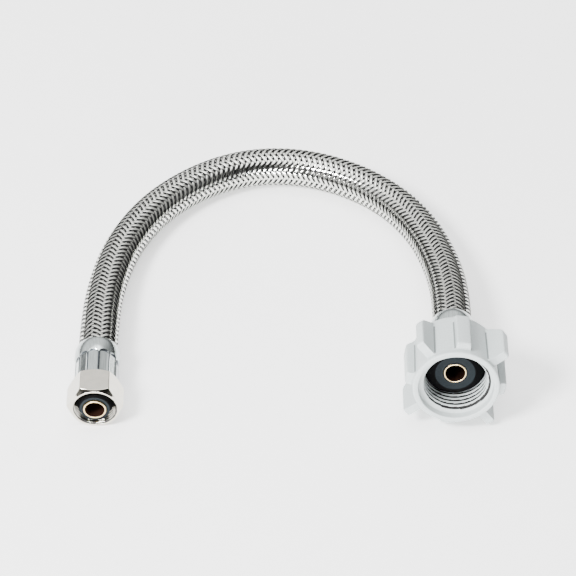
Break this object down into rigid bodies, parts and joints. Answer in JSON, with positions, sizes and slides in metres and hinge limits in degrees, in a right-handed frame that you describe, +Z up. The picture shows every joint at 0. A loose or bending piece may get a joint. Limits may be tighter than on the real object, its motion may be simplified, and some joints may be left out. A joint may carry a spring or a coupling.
{
  "type": "braided water supply line",
  "caption": "Braided stainless hose lying in an arch, with a hex compression nut at one end and a ribbed plastic wing nut at the other, both free to turn.",
  "frame": {"origin": "floor level, under the centre of the two end fittings' box", "axes": "+Z up, +X from the compression end to the wing nut's end, -Y the way both mouths face"},
  "size_m": [0.1413, 0.1298, 0.0342],
  "materials": {
    "polished_nickel": "polished nickel plating",
    "brass": "pale machined brass",
    "dark_rubber": "matt black rubber",
    "ferrule_steel": "satin drawn steel",
    "grey_plastic": "matt light grey moulding",
    "tube_rubber": "black rubber tube",
    "braided_steel": "bright drawn stainless wire, braided"
  },
  "bodies": {
    "hose": {"braid_sleeve": "braided_steel", "inner_tube": "tube_rubber", "compression_insert": "brass", "compression_washer": "dark_rubber", "compression_ferrule": "ferrule_steel", "ballcock_insert": "brass", "ballcock_washer": "dark_rubber", "ballcock_ferrule": "ferrule_steel"},
    "compression_nut": {"compression_nut": "polished_nickel"},
    "wing_nut": {"wing_nut": "grey_plastic"}
  },
  "joints": [
    {"name": "compression_nut_spin", "type": "hinge", "parent": "hose", "child": "compression_nut", "pos_m": [-0.0614, -0.0152, 0.008], "axis": [0, -1, 0], "continuous": true},
    {"name": "wing_nut_spin", "type": "hinge", "parent": "hose", "child": "wing_nut", "pos_m": [0.0542, -0.016, 0.01812], "axis": [0, -0.9936, 0.1132], "continuous": true}
  ]
}
